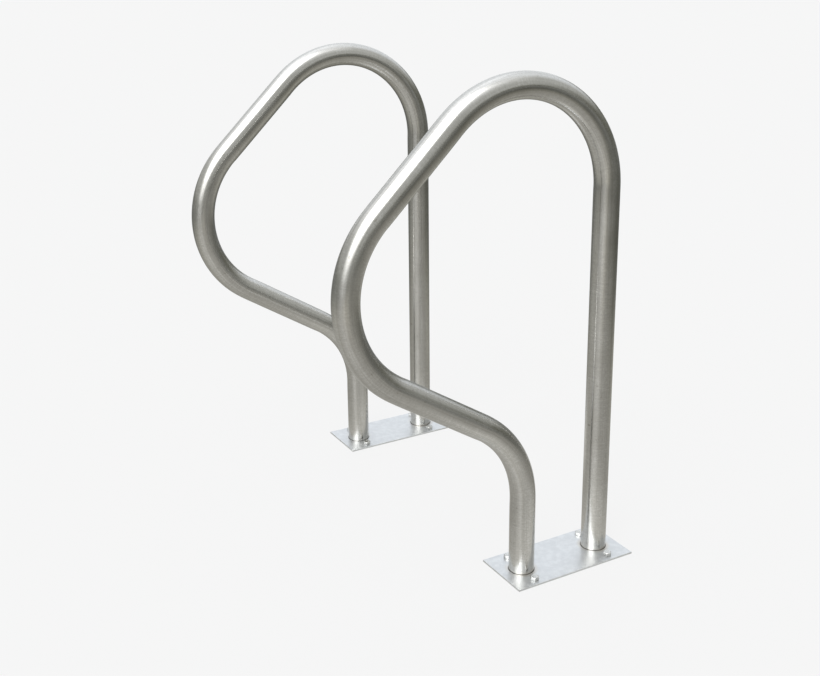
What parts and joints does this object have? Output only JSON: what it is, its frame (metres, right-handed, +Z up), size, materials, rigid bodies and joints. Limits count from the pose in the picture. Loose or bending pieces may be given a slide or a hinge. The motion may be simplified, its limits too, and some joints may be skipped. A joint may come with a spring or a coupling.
{
  "type": "pool handrail",
  "caption": "Pair of stainless pool exit handrails, each one bent round tube with a forward loop, welded at both feet to a flat rectangular plate bolted to the deck.",
  "frame": {"origin": "in the plane of the finished deck, midway between the two rails and midway between the legs of each rail", "axes": "+Z up, +X from the water towards the deck, +Y from the right rail to the left rail as seen by someone climbing out"},
  "size_m": [0.529, 0.712, 0.8737],
  "materials": {
    "tube": "satin brushed along the tube",
    "plate": "fine satin rolled sheet",
    "weld": "ground flush, slightly heat tinted",
    "bolt": "bright cold formed",
    "anchor": "plain turned",
    "cone": "plain turned"
  },
  "bodies": {
    "root": {"right_rail_tube": "tube", "right_base_plate": "plate", "right_tube_welds": "weld", "right_deck_bolts": "bolt", "right_deck_anchors": "anchor", "right_anchor_cones": "cone", "left_rail_tube": "tube", "left_base_plate": "plate", "left_tube_welds": "weld", "left_deck_bolts": "bolt", "left_deck_anchors": "anchor", "left_anchor_cones": "cone"}
  },
  "joints": []
}
